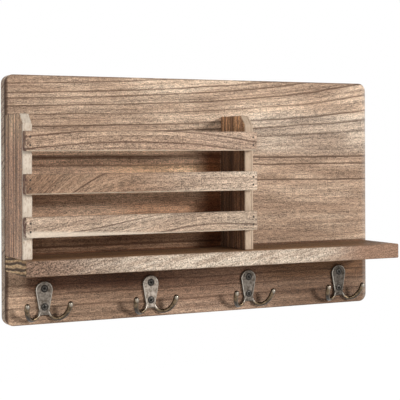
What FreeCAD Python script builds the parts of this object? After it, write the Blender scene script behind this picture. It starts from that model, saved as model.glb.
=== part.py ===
"""Wall mail organizer in stained wood.

A back board carries a full-width shelf, a letter bay made of two uprights and
three slats, and a row of cast double-prong hooks under the shelf.

Frame: X to the right along the board, Y into the wall, Z up. The origin lies on
the wall plane, midway between the two keyholes, where the hanging screws sit.
All sizes are in millimetres.
"""
import FreeCAD, Part
import math
import os
from FreeCAD import Vector

# Back board
board_width = 430.0
board_height = 250.0
board_thickness = 14.0
board_corner_radius = 9.0
board_edge_chamfer = 1.2

# Keyholes routed into the back of the board
hang_spacing = 300.0
hang_drop = 25.0
keyhole_entry_diameter = 9.5
keyhole_slot_width = 4.6
keyhole_travel = 12.0
keyhole_depth = 9.0
keyhole_lip = 3.0

# Shelf
shelf_depth = 63.0
shelf_thickness = 15.5
shelf_top_height = 70.0
wood_edge_chamfer = 0.9

# Uprights that stand on the shelf
upright_thickness = 10.0
upright_height = 140.0
upright_chamfer = 10.0
bay_width = 231.0

# Slats nailed over the fronts of the uprights
slat_count = 3
slat_height = 19.5
slat_thickness = 9.0
slat_gap = 21.5
brad_spacing = 8.0
brad_diameter = 1.8
brad_length = 25.0
brad_set = 0.25

# Screws driven from the back of the board
shelf_screw_count = 3
shelf_screw_inset = 55.0
shelf_screw_diameter = 3.5
shelf_screw_head_diameter = 7.0
shelf_screw_length = 45.0
upright_screw_inset = 30.0
upright_screw_diameter = 3.0
upright_screw_head_diameter = 6.0
upright_screw_length = 38.0
back_screw_recess = 0.6

# Cast hooks
hook_count = 4
hook_inset = 39.5
hook_screw_height = 36.0
hook_screw_spacing = 18.3
hook_plate_thickness = 3.2
hook_crown_radius = 9.0
hook_crown_drop = 1.6
hook_waist_half_width = 5.7
hook_waist_drop = 20.5
hook_arch_drop = 26.5
hook_face_chamfer = 0.8

# Prongs of the cast hooks, given by their centre line
prong_root_half_width = 4.4
prong_root_drop = 21.5
prong_exit_turn = 50.0
prong_low_half_width = 13.0
prong_low_drop = 30.6
prong_low_reach = 3.6
prong_tip_half_width = 22.6
prong_tip_drop = 15.0
prong_tip_reach = 16.8
prong_root_radius = 1.3
prong_neck_radius = 1.9
prong_neck_share = 0.3
prong_tip_radius = 2.7
prong_sections = 10

# Screws of the hooks
hook_screw_diameter = 3.2
hook_screw_hole_clearance = 0.2
hook_screw_head_diameter = 6.8
hook_screw_length = 15.5
hook_screw_recess = 0.2

# Cross recess in the heads of the hook screws
cross_width = 1.15
cross_length = 4.0
cross_depth = 1.5

# Values that follow from the sizes above
board_front = -board_thickness
board_top = hang_drop
board_bottom = board_top - board_height
board_left = -board_width / 2
board_right = board_width / 2
shelf_top = board_bottom + shelf_top_height
shelf_bottom = shelf_top - shelf_thickness
shelf_front = board_front - shelf_depth
slat_back = shelf_front + slat_thickness
slat_length = bay_width + 2 * upright_thickness
upright_left_edges = {
    "left": board_left,
    "right": board_left + upright_thickness + bay_width,
}


def eased_block(low, size):
    """A sawn block with all its sharp edges taken off."""
    block = Part.makeBox(size.x, size.y, size.z, low)
    return block.makeChamfer(wood_edge_chamfer, block.Edges)


def evenly_spaced(first, last, count):
    """Places from first to last with equal steps."""
    step = (last - first) / (count - 1)
    return [first + step * number for number in range(count)]


def revolved(profile):
    """A solid of revolution about the Z axis from (radius, height) points."""
    points = [Vector(radius, 0, height) for radius, height in profile]
    face = Part.Face(Part.makePolygon(points + [points[0]]))
    return face.revolve(Vector(0, 0, 0), Vector(0, 0, 1), 360)


def countersunk_profile(head_diameter, shank_diameter, length):
    """Half section of a wood screw, its head's flat at height 0."""
    head_radius = head_diameter / 2
    shank_radius = shank_diameter / 2
    cone_depth = head_radius - shank_radius
    return [
        (0, 0),
        (head_radius, 0),
        (shank_radius, -cone_depth),
        (shank_radius, -length),
        (0, -length),
    ]


def wood_screw(head_diameter, shank_diameter, length):
    """A countersunk screw, its axis on Z and its head up."""
    return revolved(countersunk_profile(head_diameter, shank_diameter, length))


def cross_recess():
    """The cross that a driver turns, sunk from height 0."""
    bars = []
    for size_x, size_y in ((cross_length, cross_width), (cross_width, cross_length)):
        corner = Vector(-size_x / 2, -size_y / 2, -cross_depth)
        bars.append(Part.makeBox(size_x, size_y, cross_depth, corner))
    return bars[0].fuse(bars[1]).removeSplitter()


def screw_hole(head_diameter, shank_diameter, length, recess, clearance=0.0):
    """The space of a screw whose head lies at height 0, opened up to its surface.

    The head's cone is carried on upwards by the recess, so the screw seats in it.
    """
    hole = revolved(countersunk_profile(head_diameter, shank_diameter, length))
    head_radius = head_diameter / 2
    mouth = Part.makeCone(head_radius, head_radius + recess, recess)
    shaft = Part.makeCylinder(shank_diameter / 2 + clearance, length, Vector(0, 0, -length))
    if clearance > 0:
        return mouth.fuse([hole, shaft])
    return mouth.fuse(hole)


def driven(shape, place, from_back):
    """Turn a fastener that stands on Z so that it is driven along Y at a place."""
    turned = shape.copy()
    angle = -90 if from_back else 90
    turned.rotate(Vector(0, 0, 0), Vector(1, 0, 0), angle)
    turned.translate(place)
    return turned


def brad():
    """A headless wire nail, its axis on Z and its top at height 0."""
    return Part.makeCylinder(brad_diameter / 2, brad_length, Vector(0, 0, -brad_length))


def brad_hole():
    """The space that a brad fills, with the set above it."""
    foot = Vector(0, 0, -brad_length)
    return Part.makeCylinder(brad_diameter / 2, brad_length + brad_set, foot)


def brad_places(index):
    """Where the brads of one slat have their tops."""
    middle = slat_bottom(index) + slat_height / 2
    places = []
    for left_edge in upright_left_edges.values():
        for side in (-1, 1):
            x = left_edge + upright_thickness / 2
            z = middle + side * brad_spacing / 2
            places.append(Vector(x, shelf_front + brad_set, z))
    return places


def slat_bottom(index):
    """Height of the lower edge of a slat, counted from the shelf upwards."""
    return shelf_top + slat_gap + index * (slat_height + slat_gap)


def shelf_screw_places():
    """Where the heads of the screws that hold the shelf lie, behind the board."""
    z = (shelf_top + shelf_bottom) / 2
    first = board_left + shelf_screw_inset
    last = board_right - shelf_screw_inset
    columns = evenly_spaced(first, last, shelf_screw_count)
    return [Vector(x, -back_screw_recess, z) for x in columns]


def upright_screw_places(side):
    """Where the heads of the two screws that hold an upright lie."""
    x = upright_left_edges[side] + upright_thickness / 2
    heights = (shelf_top + upright_screw_inset, shelf_top + upright_height - upright_screw_inset)
    return [Vector(x, -back_screw_recess, z) for z in heights]


def shelf_screw_holes():
    """The spaces of the screws that hold the shelf."""
    hole = screw_hole(shelf_screw_head_diameter, shelf_screw_diameter,
                      shelf_screw_length, back_screw_recess)
    return [driven(hole, place, True) for place in shelf_screw_places()]


def upright_screw_holes(side):
    """The spaces of the screws that hold an upright."""
    hole = screw_hole(upright_screw_head_diameter, upright_screw_diameter,
                      upright_screw_length, back_screw_recess)
    return [driven(hole, place, True) for place in upright_screw_places(side)]


def keyhole(x):
    """A keyhole pocket: an entry, a narrow slot above it and its undercut."""
    entry_radius = keyhole_entry_diameter / 2
    slot_radius = keyhole_slot_width / 2
    into_board = Vector(0, -1, 0)
    entry_place = Vector(x, 0, -keyhole_travel)
    top_place = Vector(x, 0, 0)
    undercut_place = Vector(x, -keyhole_lip, 0)
    undercut_depth = keyhole_depth - keyhole_lip
    entry = Part.makeCylinder(entry_radius, keyhole_depth, entry_place, into_board)
    slot_end = Part.makeCylinder(slot_radius, keyhole_depth, top_place, into_board)
    undercut_end = Part.makeCylinder(entry_radius, undercut_depth, undercut_place, into_board)
    slot = Part.makeBox(keyhole_slot_width, keyhole_lip, keyhole_travel,
                        Vector(x - slot_radius, -keyhole_lip, -keyhole_travel))
    undercut = Part.makeBox(keyhole_entry_diameter, undercut_depth, keyhole_travel,
                            Vector(x - entry_radius, -keyhole_depth, -keyhole_travel))
    return entry.fuse([slot_end, undercut_end, slot, undercut])


def hook_columns():
    """The middle of each hook along the board."""
    return evenly_spaced(board_left + hook_inset, board_right - hook_inset, hook_count)


def hook_origin(x):
    """The point of a hook on the face of the board, on its upper screw's axis."""
    return Vector(x, board_front, board_bottom + hook_screw_height)


def hook_screw_drops():
    """How far each screw of a hook lies below the upper one."""
    return (0, hook_screw_spacing)


def hook_screw_places(x):
    """Where the heads of one hook's screws lie."""
    face = -hook_plate_thickness + hook_screw_recess
    return [hook_origin(x) + Vector(0, face, -drop) for drop in hook_screw_drops()]


def hook_screw_holes(x, clearance=0.0):
    """The spaces of one hook's screws."""
    hole = screw_hole(hook_screw_head_diameter, hook_screw_diameter,
                      hook_screw_length, hook_screw_recess, clearance)
    return [driven(hole, place, False) for place in hook_screw_places(x)]


def back_board():
    """The board, with rounded corners, its keyholes and all its screw holes."""
    radius = board_corner_radius
    block = Part.makeBox(board_width, board_thickness, board_height,
                         Vector(board_left, board_front, board_bottom))
    corners = [edge for edge in block.Edges if abs(edge.tangentAt(0).y) > 0.5]
    board = block.makeFillet(radius, corners)
    rim = [edge for edge in board.Edges if edge.BoundBox.YLength < 0.001]
    board = board.makeChamfer(board_edge_chamfer, rim)
    cuts = [keyhole(side * hang_spacing / 2) for side in (-1, 1)]
    cuts += shelf_screw_holes()
    for side in upright_left_edges:
        cuts += upright_screw_holes(side)
    for x in hook_columns():
        cuts += hook_screw_holes(x)
    return board.cut(cuts)


def shelf():
    """The shelf, as wide as the board."""
    low = Vector(board_left, shelf_front, shelf_bottom)
    size = Vector(board_width, shelf_depth, shelf_thickness)
    return eased_block(low, size).cut(shelf_screw_holes())


def upright(side):
    """An upright, with a chamfer over its front and the holes of its fasteners."""
    left = upright_left_edges[side]
    top = shelf_top + upright_height
    chamfer_back = slat_back + upright_chamfer
    chamfer_foot = top - upright_chamfer
    corners = [
        Vector(left, board_front, shelf_top),
        Vector(left, slat_back, shelf_top),
        Vector(left, slat_back, chamfer_foot),
        Vector(left, chamfer_back, top),
        Vector(left, board_front, top),
    ]
    face = Part.Face(Part.makePolygon(corners + [corners[0]]))
    block = face.extrude(Vector(upright_thickness, 0, 0))
    piece = block.makeChamfer(wood_edge_chamfer, block.Edges)
    cuts = upright_screw_holes(side)
    for index in range(slat_count):
        cuts += [driven(brad_hole(), place, False) for place in brad_places(index)]
    return piece.cut(cuts)


def slat(index):
    """A slat across the fronts of both uprights."""
    low = Vector(board_left, shelf_front, slat_bottom(index))
    size = Vector(slat_length, slat_thickness, slat_height)
    holes = [driven(brad_hole(), place, False) for place in brad_places(index)]
    return eased_block(low, size).cut(holes)


def slat_brads(index):
    """The brads of one slat."""
    return Part.makeCompound([driven(brad(), place, False) for place in brad_places(index)])


def shelf_screws():
    """The screws that hold the shelf to the board."""
    screw = wood_screw(shelf_screw_head_diameter, shelf_screw_diameter, shelf_screw_length)
    return Part.makeCompound([driven(screw, place, True) for place in shelf_screw_places()])


def upright_screws(side):
    """The screws that hold one upright to the board."""
    screw = wood_screw(upright_screw_head_diameter, upright_screw_diameter, upright_screw_length)
    return Part.makeCompound([driven(screw, place, True) for place in upright_screw_places(side)])


def tangent_arc(start, direction, end):
    """An arc from start to end that leaves start along a direction, in the XZ plane."""
    normal = Vector(-direction.z, 0, direction.x).normalize()
    chord = end - start
    radius = chord.Length ** 2 / (2 * chord.dot(normal))
    centre = start + normal * radius
    bulge = (start + end) * 0.5 - centre
    middle = centre + bulge.normalize() * abs(radius)
    return Part.Arc(start, middle, end).toShape()


def mirrored(edges):
    """The same edges on the other side of the hook's middle."""
    return [edge.mirror(Vector(0, 0, 0), Vector(1, 0, 0)) for edge in edges]


def prong_descent(turn):
    """A point of the prong's centre line on its way down from inside the plate.

    It follows a quarter of an ellipse, which is level after a turn of 90 degrees.
    """
    angle = math.radians(turn)
    across = (prong_low_half_width - prong_root_half_width) * (1 - math.cos(angle))
    down = (prong_low_drop - prong_root_drop) * math.sin(angle)
    root_reach = hook_plate_thickness / 2
    forward = (prong_low_reach - root_reach) * turn / 90
    return Vector(prong_root_half_width + across, -root_reach - forward, -prong_root_drop - down)


def prong_ascent(turn):
    """A point of the prong's centre line on its way up and away from the board.

    It starts level at the lowest point and is upright after a turn of 90 degrees.
    """
    angle = math.radians(turn)
    across = (prong_tip_half_width - prong_low_half_width) * math.sin(angle)
    rise = (prong_low_drop - prong_tip_drop) * (1 - math.cos(angle))
    forward = (prong_tip_reach - prong_low_reach) * turn / 90
    return Vector(prong_low_half_width + across, -prong_low_reach - forward, -prong_low_drop + rise)


def hook_outline():
    """The plate's outline: a round crown, straight flanks, flared corners and an arch."""
    centre = Vector(0, 0, -hook_crown_drop)
    waist = Vector(hook_waist_half_width, 0, -hook_waist_drop)
    arch = Vector(0, 0, -hook_arch_drop)
    top = centre + Vector(0, 0, hook_crown_radius)
    # The corner lies where the prong leaves the plate.
    exit_point = prong_descent(prong_exit_turn)
    corner = Vector(exit_point.x, 0, exit_point.z)
    # The flank touches the crown where the crown's radius is square to it.
    reach = waist - centre
    turn = math.acos(hook_crown_radius / reach.Length)
    bearing = math.atan2(reach.z, reach.x) + turn
    shoulder = centre + Vector(math.cos(bearing), 0, math.sin(bearing)) * hook_crown_radius
    halfway = (bearing + math.pi / 2) / 2
    crown_middle = centre + Vector(math.cos(halfway), 0, math.sin(halfway)) * hook_crown_radius
    right = [
        Part.Arc(top, crown_middle, shoulder).toShape(),
        Part.makeLine(shoulder, waist),
        tangent_arc(waist, waist - shoulder, corner),
        tangent_arc(arch, Vector(1, 0, 0), corner),
    ]
    return Part.Wire(Part.__sortEdges__(right + mirrored(right)))


def hook_plate():
    """The cast plate, with its front edge taken off."""
    face = Part.Face(hook_outline())
    plate = face.extrude(Vector(0, -hook_plate_thickness, 0))
    front = [edge for edge in plate.Edges
             if abs(edge.BoundBox.YMax + hook_plate_thickness) < 0.001]
    return plate.makeChamfer(hook_face_chamfer, front)


def prong_radius(share):
    """Radius of the prong at a share of its length: slim in the plate, full at the tip."""
    if share < prong_neck_share:
        swell = share / prong_neck_share
        return prong_root_radius + (prong_neck_radius - prong_root_radius) * swell
    swell = (share - prong_neck_share) / (1 - prong_neck_share)
    return prong_neck_radius + (prong_tip_radius - prong_neck_radius) * swell


def prong():
    """The right prong, as a loft of short tapered lengths that ends in a dome."""
    curve = Part.BSplineCurve()
    curve.interpolate([prong_descent(turn) for turn in (0, 45)]
                      + [prong_ascent(turn) for turn in (0, 30, 60, 90)])
    first, last = curve.FirstParameter, curve.LastParameter
    sections = []
    for number in range(prong_sections):
        share = number / (prong_sections - 1)
        parameter = first + (last - first) * share
        centre = curve.value(parameter)
        way = curve.tangent(parameter)[0]
        circle = Part.Circle(centre, way, prong_radius(share))
        sections.append(Part.Wire(circle.toShape()))
    stem = Part.makeLoft(sections, True, True)
    dome = Part.makeSphere(prong_tip_radius, curve.value(last), curve.tangent(last)[0], 0, 90)
    return stem.fuse(dome)


def hook(x):
    """A cast hook: the plate, both prongs and the countersunk holes."""
    right = prong()
    left = right.mirror(Vector(0, 0, 0), Vector(1, 0, 0))
    casting = hook_plate().fuse([right, left])
    casting.translate(hook_origin(x))
    return casting.cut(hook_screw_holes(x, hook_screw_hole_clearance)).removeSplitter()


def hook_screws(x):
    """The two screws of one hook."""
    blank = wood_screw(hook_screw_head_diameter, hook_screw_diameter, hook_screw_length)
    screw = blank.cut(cross_recess())
    return Part.makeCompound([driven(screw, place, False) for place in hook_screw_places(x)])


def all_nodes():
    """Every piece of the organizer by the name of its node."""
    nodes = {"back_board": back_board(), "shelf": shelf(), "shelf_screws": shelf_screws()}
    for side in upright_left_edges:
        nodes["upright_" + side] = upright(side)
        nodes["upright_" + side + "_screws"] = upright_screws(side)
    for index in range(slat_count):
        name = "slat_%d" % (index + 1)
        nodes[name] = slat(index)
        nodes[name + "_brads"] = slat_brads(index)
    for number, x in enumerate(hook_columns(), start=1):
        name = "hook_%d" % number
        nodes[name] = hook(x)
        nodes[name + "_screws"] = hook_screws(x)
    return nodes


os.makedirs("parts", exist_ok=True)
for node_name, node_shape in all_nodes().items():
    node_shape.exportStep("parts/%s.step" % node_name)
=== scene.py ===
"""The look of a wall mail organizer in stained wood, with cast double-prong hooks.

It hangs on a wall: +X to the right along the board, +Y into the wall, +Z up.
Shapes are in metres. Materials read the point on a piece in millimetres.
"""
import bmesh
import bpy
import math
from mathutils import Matrix, Vector


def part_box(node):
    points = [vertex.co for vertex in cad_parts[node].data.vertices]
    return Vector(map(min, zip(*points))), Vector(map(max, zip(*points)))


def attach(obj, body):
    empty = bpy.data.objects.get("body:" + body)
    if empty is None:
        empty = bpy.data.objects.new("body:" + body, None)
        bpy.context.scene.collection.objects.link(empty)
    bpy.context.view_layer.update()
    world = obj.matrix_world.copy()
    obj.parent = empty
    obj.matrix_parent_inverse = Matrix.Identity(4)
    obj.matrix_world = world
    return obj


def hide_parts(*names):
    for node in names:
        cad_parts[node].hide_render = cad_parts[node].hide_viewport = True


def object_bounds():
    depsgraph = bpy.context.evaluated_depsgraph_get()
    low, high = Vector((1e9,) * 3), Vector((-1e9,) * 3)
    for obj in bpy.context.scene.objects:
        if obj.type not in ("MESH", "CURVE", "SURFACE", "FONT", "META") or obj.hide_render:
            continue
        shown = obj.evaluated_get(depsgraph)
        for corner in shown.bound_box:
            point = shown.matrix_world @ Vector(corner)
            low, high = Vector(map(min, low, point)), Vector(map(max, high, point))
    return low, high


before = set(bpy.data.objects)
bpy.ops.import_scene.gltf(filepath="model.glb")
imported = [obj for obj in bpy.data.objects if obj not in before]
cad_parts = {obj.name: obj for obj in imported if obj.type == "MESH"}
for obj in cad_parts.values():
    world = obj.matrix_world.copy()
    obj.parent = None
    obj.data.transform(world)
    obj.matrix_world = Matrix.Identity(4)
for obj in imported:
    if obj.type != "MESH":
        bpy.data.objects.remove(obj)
cad_low, cad_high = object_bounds()
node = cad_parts
mm = 0.001


# Back board
# One wide board of light softwood, planed, brushed and stained brown, so that its growth
# rings stand out as thin dark lines. Its corners are rounded, its edges eased, and two
# keyholes are routed into its back.

class Wire:
    """An output in a node tree. A sum or product of wires is a node that works it out."""

    def __init__(self, tree, socket):
        self.tree = tree
        self.socket = socket

    def __add__(self, other):
        return reckon("ADD", self, other)

    def __sub__(self, other):
        return reckon("SUBTRACT", self, other)

    def __rsub__(self, other):
        return reckon("SUBTRACT", other, self)

    def __mul__(self, other):
        return reckon("MULTIPLY", self, other)


def feed(tree, socket, value):
    """Let an input read a wire, or hold a value. Colours are given as red, green and blue."""
    if isinstance(value, Wire):
        tree.links.new(value.socket, socket)
    elif socket.type == "RGBA":
        socket.default_value = (*value, 1.0)
    else:
        socket.default_value = value


def put(tree, kind, inputs=None, **settings):
    """Add a node, with its settings and what its inputs read."""
    made = tree.nodes.new(kind)
    for name, value in settings.items():
        setattr(made, name, value)
    for key, value in (inputs or {}).items():
        feed(tree, made.inputs[key], value)
    return made


def source(tree, kind, which=0, **settings):
    """One output of a new node that reads nothing."""
    return Wire(tree, put(tree, kind, **settings).outputs[which])


def step(kind, inputs, which=0, **settings):
    """One output of a new node that reads a wire."""
    tree = next(value.tree for value in inputs.values() if isinstance(value, Wire))
    return Wire(tree, put(tree, kind, inputs, **settings).outputs[which])


def outputs_of(tree, made):
    """The outputs of a node by name."""
    return {socket.name: Wire(tree, socket) for socket in made.outputs}


def reckon(operation, *values):
    """The result of one step of arithmetic."""
    return step("ShaderNodeMath", dict(enumerate(values)), operation=operation)


def reckon_vector(operation, *values):
    """The result of one step of arithmetic on vectors."""
    return step("ShaderNodeVectorMath", dict(enumerate(values)), operation=operation)


def axes(vector):
    """The three parts of a vector."""
    made = put(vector.tree, "ShaderNodeSeparateXYZ", {0: vector})
    return [Wire(vector.tree, socket) for socket in made.outputs]


def joined(x, y, z):
    """A vector of three parts."""
    return step("ShaderNodeCombineXYZ", {0: x, 1: y, 2: z})


def grey(value):
    """A colour with three equal parts."""
    return joined(value, value, value)


def ramped(value, start, end, low=0.0, high=1.0):
    """A value carried smoothly from low at start to high at end."""
    return step("ShaderNodeMapRange", {0: value, 1: start, 2: end, 3: low, 4: high},
                interpolation_type="SMOOTHSTEP")


def graded(value, first, last, stops):
    """A grey that goes straight from first through stops of (place, level) to last."""
    made = put(value.tree, "ShaderNodeValToRGB", {0: value})
    elements = made.color_ramp.elements
    elements[0].color = (first, first, first, 1.0)
    elements[1].color = (last, last, last, 1.0)
    for place, level in stops:
        elements.new(place).color = (level, level, level, 1.0)
    return Wire(value.tree, made.outputs[0])


def blended(share, first, second, way="MIX"):
    """Two colours mixed by a share."""
    return step("ShaderNodeMix", {0: share, 6: first, 7: second}, 2, data_type="RGBA", blend_type=way)


def tinted(share, color, tint):
    """A colour multiplied by a tint, as far as a share says."""
    return blended(share, color, tint, "MULTIPLY")


def cloud(point, stretch, detail=2.0, roughness=0.5):
    """Noise from 0 to 1 whose grains are stretched: stretch is their size in millimetres."""
    scaled = reckon_vector("DIVIDE", point, stretch)
    return step("ShaderNodeTexNoise",
                {"Vector": scaled, "Scale": 1.0, "Detail": detail, "Roughness": roughness})


def open_group(name, kind, inputs, outputs):
    """A node group with its named inputs, and the sockets that take its results."""
    group = bpy.data.node_groups.new(name, kind)
    for in_out, sockets in (("INPUT", inputs), ("OUTPUT", outputs)):
        for label, socket_kind in sockets.items():
            group.interface.new_socket(label, in_out=in_out, socket_type="NodeSocket" + socket_kind)
    given = outputs_of(group, group.nodes.new("NodeGroupInput"))
    return group, given, group.nodes.new("NodeGroupOutput").inputs


def late_wood(point, pith, spacing, waviness):
    """Rings round a pith, bent by slow and quick waves, each year with a dark line of its own."""
    around = reckon_vector("MULTIPLY", reckon_vector("SUBTRACT", point, pith), (0.0, 1.0, 1.0))
    length = step("ShaderNodeVectorMath", {0: around}, "Value", operation="LENGTH")
    slow_wave = cloud(point, (170.0, 52.0, 52.0)) - 0.5
    quick_wave = cloud(point, (34.0, 13.0, 13.0)) - 0.5
    distance = length + (slow_wave + quick_wave * 0.16) * waviness
    year = reckon("DIVIDE", distance, spacing)
    seasons = step("ShaderNodeTexNoise", {"W": year, "Scale": 0.45, "Detail": 1.0}, noise_dimensions="1D")
    year = year + seasons * 2.6
    vigour = step("ShaderNodeTexWhiteNoise", {"W": reckon("FLOOR", year)}, noise_dimensions="1D")
    line = graded(reckon("FRACT", year), 0.35, 0.75, [(0.10, 0.0), (0.55, 0.04), (0.82, 0.28), (0.93, 1.0)])
    return line * ramped(vigour, 0.1, 0.9, 0.12, 1.0)


def timber_group():
    """Sawn timber: rings, drawn growth lines, fibres and pores. X is along the grain."""
    group, given, result = open_group("sawn_timber", "ShaderNodeTree", {
        "Point": "Vector", "Pith": "Vector", "Ring Spacing": "Float", "Waviness": "Float",
        "Ring Strength": "Float", "Growth Lines": "Float", "Fibre Strength": "Float",
        "Pore Strength": "Float", "Pale Wood": "Color", "Brown Wood": "Color", "Ring Wood": "Color",
    }, {"Color": "Color", "Roughness": "Float", "Height": "Float"})
    point, brown, dark = given["Point"], given["Brown Wood"], given["Ring Wood"]
    rings = late_wood(point, given["Pith"], given["Ring Spacing"], given["Waviness"]) * given["Ring Strength"]
    drawn = given["Growth Lines"] * ramped(cloud(point, (55.0, 9.0, 9.0)), 0.3, 0.6, 0.72, 1.0)
    fine = ramped(cloud(point, (6.0, 1.0, 1.0), 1.0), 0.36, 0.64, -0.5, 0.5)
    coarse = ramped(cloud(point, (44.0, 2.6, 2.6)), 0.38, 0.62, -0.5, 0.5)
    speck = ramped(cloud(point, (1.5, 1.0, 1.0), 1.0), 0.36, 0.64, -0.5, 0.5)
    pore = ramped(cloud(point, (2.4, 1.1, 1.1), 1.0), 0.60, 0.70)
    drift = ramped(cloud(point, (120.0, 24.0, 24.0), 3.0), 0.36, 0.64)
    flame = ramped(cloud(point, (64.0, 6.0, 6.0)), 0.40, 0.66)

    color = blended(drift, given["Pale Wood"], brown)
    color = blended(flame * 0.55, color, brown)
    color = blended(rings, color, dark)
    color = blended(pore * given["Pore Strength"], color, dark)
    streak = fine * 0.48 + coarse * 0.34 + speck * 0.56
    color = tinted(1.0, color, grey(streak * given["Fibre Strength"] + 1.0))
    feed(group, result["Color"], blended(drawn, color, dark))
    feed(group, result["Roughness"], fine * 0.3 + 0.62 - rings * 0.08)
    feed(group, result["Height"], fine * 0.7 + rings * 0.3 - pore * 0.4)
    return group


def edge_group():
    """How near a point lies to a board's edges, over an uneven width, and to its ends: 0 to 1."""
    group, given, result = open_group("board_edges", "ShaderNodeTree", {
        "Point": "Vector", "Low Corner": "Vector", "High Corner": "Vector", "Width": "Float",
    }, {"Edges": "Float", "Ends": "Float"})
    point = given["Point"]
    above = reckon_vector("SUBTRACT", point, given["Low Corner"])
    below = reckon_vector("SUBTRACT", given["High Corner"], point)
    x, y, z = axes(reckon_vector("MINIMUM", above, below))
    middle = reckon("MINIMUM", reckon("MAXIMUM", x, y), z)
    second = reckon("MAXIMUM", reckon("MINIMUM", x, y), middle)
    reach = (cloud(point, (9.0, 9.0, 9.0), 3.0) + 0.45) * given["Width"]
    feed(group, result["Edges"], ramped(second, reach, 0.0))
    feed(group, result["Ends"], ramped(x, 0.9, 0.3))
    return group


def waver_group():
    """A height that wavers along the grain by slow and quick waves of so many millimetres."""
    group, given, result = open_group("wavering_height", "ShaderNodeTree", {
        "Point": "Vector", "Height": "Float", "Slow Waves": "Float", "Quick Waves": "Float",
    }, {"Height": "Float"})
    slowly = (cloud(given["Point"], (90.0, 60.0, 26.0)) - 0.5) * given["Slow Waves"]
    quickly = (cloud(given["Point"], (11.0, 11.0, 11.0)) - 0.5) * given["Quick Waves"]
    feed(group, result["Height"], given["Height"] + slowly + quickly)
    return group


timber = timber_group()
board_edges = edge_group()
wavering = waver_group()


def from_group(group, inputs):
    """What a group puts out at a point."""
    tree = inputs["Point"].tree
    return outputs_of(tree, put(tree, "ShaderNodeGroup", inputs, node_tree=group))


def grained(inputs):
    """The colour, roughness and height of sawn timber."""
    return from_group(timber, inputs)


def box_mm(name):
    """The low and the high corner of a CAD node, in millimetres."""
    return [Vector(corner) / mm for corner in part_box(name)]


def in_millimetres(place):
    """A place in metres, in millimetres."""
    return step("ShaderNodeVectorMath", {0: place, "Scale": 1.0 / mm}, operation="SCALE")


def new_material(name):
    """A material with an empty node tree, and that tree."""
    material = bpy.data.materials.new(name)
    material.use_nodes = True
    return material, material.node_tree


def new_wood(name):
    """A material for one sawn piece, and the point on the piece."""
    material, tree = new_material(name)
    return material, in_millimetres(source(tree, "ShaderNodeTexCoord", "Object"))


def bumped(height, depth):
    """The normals of a surface raised by a height of so many metres."""
    return step("ShaderNodeBump", {"Height": height, "Distance": depth, "Strength": 1.0})


def feed_shader(material, values):
    """Feed the shader of a material."""
    tree = material.node_tree
    for name, value in values.items():
        feed(tree, tree.nodes["Principled BSDF"].inputs[name], value)
    return material


def stain(material, color, grain):
    """Finish a wood: matt, with the roughness and the relief of its grain."""
    return feed_shader(material, {"Base Color": color, "Roughness": grain["Roughness"],
                                  "Specular IOR Level": 0.12,
                                  "Normal": bumped(grain["Height"], 0.35 * mm)})


def edges_of(name, point, width):
    """How near a point lies to the edges and to the ends of a CAD node, from 0 to 1."""
    low, high = box_mm(name)
    worn = from_group(board_edges, {"Point": point, "Low Corner": tuple(low), "High Corner": tuple(high),
                                    "Width": width})
    return worn["Edges"], worn["Ends"]


def growth_lines(height, lines):
    """Dark growth lines at heights in millimetres: each is (height, width, strength)."""
    low = min(at - width for at, width, strength in lines) - 1.0
    high = max(at + width for at, width, strength in lines) + 1.0
    stops = []
    for at, width, strength in lines:
        profile = ((at - width * 0.5, 0.0), (at - width * 0.05, strength), (at + width * 0.65, 0.0))
        stops += [((place - low) / (high - low), level) for place, level in profile]
    return graded(step("ShaderNodeMapRange", {0: height, 1: low, 2: high}), 0.0, 0.0, stops)


def wavered(point, height, slow, quick):
    """A height that wavers along the grain."""
    return from_group(wavering, {"Point": point, "Height": height, "Slow Waves": slow,
                                 "Quick Waves": quick})["Height"]


def dress(name, material):
    """Give a CAD node its material."""
    node[name].data.materials.clear()
    node[name].data.materials.append(material)


board_low, board_high = box_mm("back_board")
shelf_low, shelf_high = box_mm("shelf")
bay_right = box_mm("upright_right")[0].x
upper_lines = [(27.0, 2.2, 0.9), (16.3, 2.2, 0.95), (10.2, 2.1, 0.9), (4.0, 1.7, 0.5), (1.2, 2.2, 1.0),
               (-4.4, 1.7, 0.35), (-8.8, 2.1, 0.8), (-21.9, 2.3, 1.0), (-29.4, 2.3, 1.0)]
lower_lines = [(-38.4, 2.2, 0.95), (-52.5, 1.7, 0.3), (-59.2, 2.7, 1.0), (-66.5, 2.2, 1.0), (-83.8, 2.3, 1.0),
               (-148.0, 3.8, 1.0), (-186.0, 2.2, 0.7), (-196.0, 2.2, 0.7), (-208.0, 2.6, 0.75),
               (-217.0, 1.8, 0.5)]
right_lines = [(-59.4, 1.5, 0.75), (-66.7, 1.2, 0.6), (-84.0, 1.7, 0.7)]
# Dark bands under each slat and just above the shelf, for the bay alone: partly growth lines, partly painted
# shade.
bay_lines_and_shade = [(-57.3, 6.0, 1.0), (-97.0, 5.0, 0.3), (-103.0, 4.0, 0.25), (-142.5, 5.0, 0.4),
             (-152.0, 3.0, 0.6)]
pale_streak = [(-197.0, 2.6, 0.8)]
fan_foot = -62.0
fan_slope = 0.00098
fan_bend = 1.6e-6


def board_lines(x, z, height, facing):
    """The growth lines of the whole board, and dark bands in the letter bay alone: partly growth lines,
    partly painted shade under the slats and above the shelf.
    """
    clear = ramped(x, 24.0, 40.0) * ramped(z, -135.0, -141.0) * ramped(z, -172.0, -168.0)
    within = growth_lines(height, bay_lines_and_shade) * ramped(x, 44.0, 10.0) * facing
    lower = reckon("MAXIMUM", growth_lines(height, lower_lines) * (1.0 - clear), within)
    return reckon("MAXIMUM", growth_lines(height, upper_lines), lower)


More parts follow.
